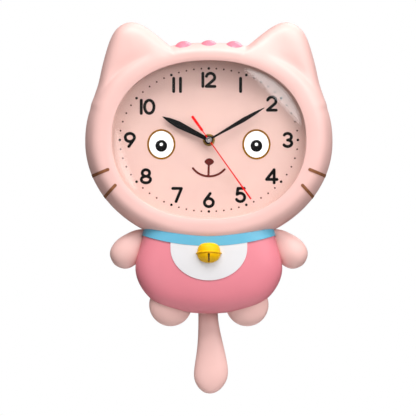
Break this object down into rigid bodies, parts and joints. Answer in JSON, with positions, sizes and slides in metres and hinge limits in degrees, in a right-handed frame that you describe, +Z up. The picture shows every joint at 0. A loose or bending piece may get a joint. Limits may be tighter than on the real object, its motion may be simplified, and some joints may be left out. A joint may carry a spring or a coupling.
{
  "type": "cat tail wall clock",
  "caption": "Cat-shaped wall clock with a domed oval dial, quartz gear train, arms, feet, belly panel and bell, and a swinging pendulum tail.",
  "frame": {"origin": "centre of the hanging keyhole's round entry, on the wall plane", "axes": "+Z up along the clock, +Y into the wall, +X to the right seen from the front"},
  "size_m": [0.2474, 0.0544, 0.3718],
  "materials": {
    "head_plastic": "satin moulded pink",
    "pad_plastic": "satin moulded rose",
    "whisker_paint": "matt brown",
    "body_plastic": "satin moulded coral",
    "collar_plastic": "satin light blue",
    "panel_plastic": "satin white",
    "bell_plastic": "gloss yellow",
    "cover_plastic": "fine spark texture, pink",
    "lens_plastic": "clear polished",
    "dial_card": "printed matt",
    "hand_black": "satin black",
    "hand_red": "satin red",
    "steel": "plated",
    "brass": "turned",
    "rubber": "matt",
    "movement_plastic": "fine spark texture, black",
    "gear_plastic": "natural acetal",
    "copper": "enamelled copper wire",
    "board": "glass-epoxy board",
    "magnet": "sintered ferrite",
    "cell": "printed sleeve"
  },
  "bodies": {
    "case": {"head_shell": "head_plastic", "forehead_pad_left": "pad_plastic", "forehead_pad_middle": "pad_plastic", "forehead_pad_right": "pad_plastic", "whiskers_left": "whisker_paint", "whiskers_right": "whisker_paint", "lens": "lens_plastic", "spacer_ring": "dial_card", "dial_plate": "dial_card", "dial_screws": "steel", "rear_cover": "cover_plastic", "rear_cover_screws": "steel", "body_shell": "body_plastic", "belly_panel": "panel_plastic", "collar": "collar_plastic", "bell_upper": "bell_plastic", "bell_lower": "bell_plastic", "arm_left": "head_plastic", "arm_right": "head_plastic", "foot_left": "head_plastic", "foot_right": "head_plastic", "movement_case": "movement_plastic", "movement_cover": "movement_plastic", "centre_bushing": "brass", "rubber_washer": "rubber", "dial_washer": "brass", "hex_nut": "brass", "stator": "steel", "step_coil": "copper", "circuit_board": "board", "quartz_crystal": "steel", "battery_contact_positive": "steel", "battery_contact_negative": "steel", "drive_coil": "copper", "pendulum_pivot_pin": "steel"},
    "seconds": {"seconds_wheel": "gear_plastic", "second_hand": "hand_red", "second_hand_cap": "steel"},
    "intermediate": {"intermediate_wheel": "gear_plastic"},
    "rotor": {"rotor": "magnet"},
    "third": {"third_wheel": "gear_plastic"},
    "centre": {"centre_wheel": "gear_plastic"},
    "minutes": {"minute_pipe": "gear_plastic", "minute_hand": "hand_black"},
    "motion": {"motion_wheel": "gear_plastic"},
    "hours": {"hour_wheel": "gear_plastic", "hour_hand": "hand_black"},
    "knob": {"setting_knob": "movement_plastic"},
    "pendulum": {"pendulum_hanger": "movement_plastic", "pendulum_magnet": "magnet", "pendulum_rod": "steel", "tail_front": "head_plastic", "tail_back": "head_plastic"},
    "cell": {"battery": "cell"}
  },
  "joints": [
    {"name": "minute_spin", "type": "hinge", "parent": "case", "child": "minutes", "pos_m": [0, -0.022, -0.074], "axis": [0, 1, 0], "continuous": true},
    {"name": "hour_spin", "type": "hinge", "parent": "case", "child": "hours", "pos_m": [0, -0.022, -0.074], "axis": [0, 1, 0], "continuous": true},
    {"name": "motion_wheel_spin", "type": "hinge", "parent": "case", "child": "motion", "pos_m": [-0.0096, -0.0165, -0.074], "axis": [0, 1, 0], "continuous": true},
    {"name": "setting_knob_spin", "type": "hinge", "parent": "case", "child": "knob", "pos_m": [-0.01791, -0.01, -0.0692], "axis": [0, 1, 0], "continuous": true},
    {"name": "seconds_spin", "type": "hinge", "parent": "case", "child": "seconds", "pos_m": [0, -0.02, -0.074], "axis": [0, 1, 0], "continuous": true},
    {"name": "intermediate_spin", "type": "hinge", "parent": "case", "child": "intermediate", "pos_m": [0.00986, -0.01, -0.0776], "axis": [0, 1, 0], "continuous": true},
    {"name": "rotor_spin", "type": "hinge", "parent": "case", "child": "rotor", "pos_m": [0.0161, -0.012, -0.074], "axis": [0, 1, 0], "continuous": true},
    {"name": "third_wheel_spin", "type": "hinge", "parent": "case", "child": "third", "pos_m": [0, -0.012, -0.0638], "axis": [0, 1, 0], "continuous": true},
    {"name": "centre_wheel_spin", "type": "hinge", "parent": "case", "child": "centre", "pos_m": [0, -0.014, -0.074], "axis": [0, 1, 0], "continuous": true},
    {"name": "pendulum_swing", "type": "hinge", "parent": "case", "child": "pendulum", "pos_m": [0, -0.0107, -0.108], "axis": [0, 1, 0], "range_deg": [-8, 8]},
    {"name": "battery_slide", "type": "slide", "parent": "case", "child": "cell", "axis": [0, 1, 0], "range_m": [0, 0.02]}
  ],
  "couplings": [
    {"joint": "hour_spin", "follows": "minute_spin", "ratio": 0.083333},
    {"joint": "motion_wheel_spin", "follows": "minute_spin", "ratio": -0.33333},
    {"joint": "setting_knob_spin", "follows": "minute_spin", "ratio": 1},
    {"joint": "intermediate_spin", "follows": "seconds_spin", "ratio": -6},
    {"joint": "rotor_spin", "follows": "seconds_spin", "ratio": 30},
    {"joint": "third_wheel_spin", "follows": "seconds_spin", "ratio": -0.13333},
    {"joint": "centre_wheel_spin", "follows": "seconds_spin", "ratio": 0.016667}
  ]
}
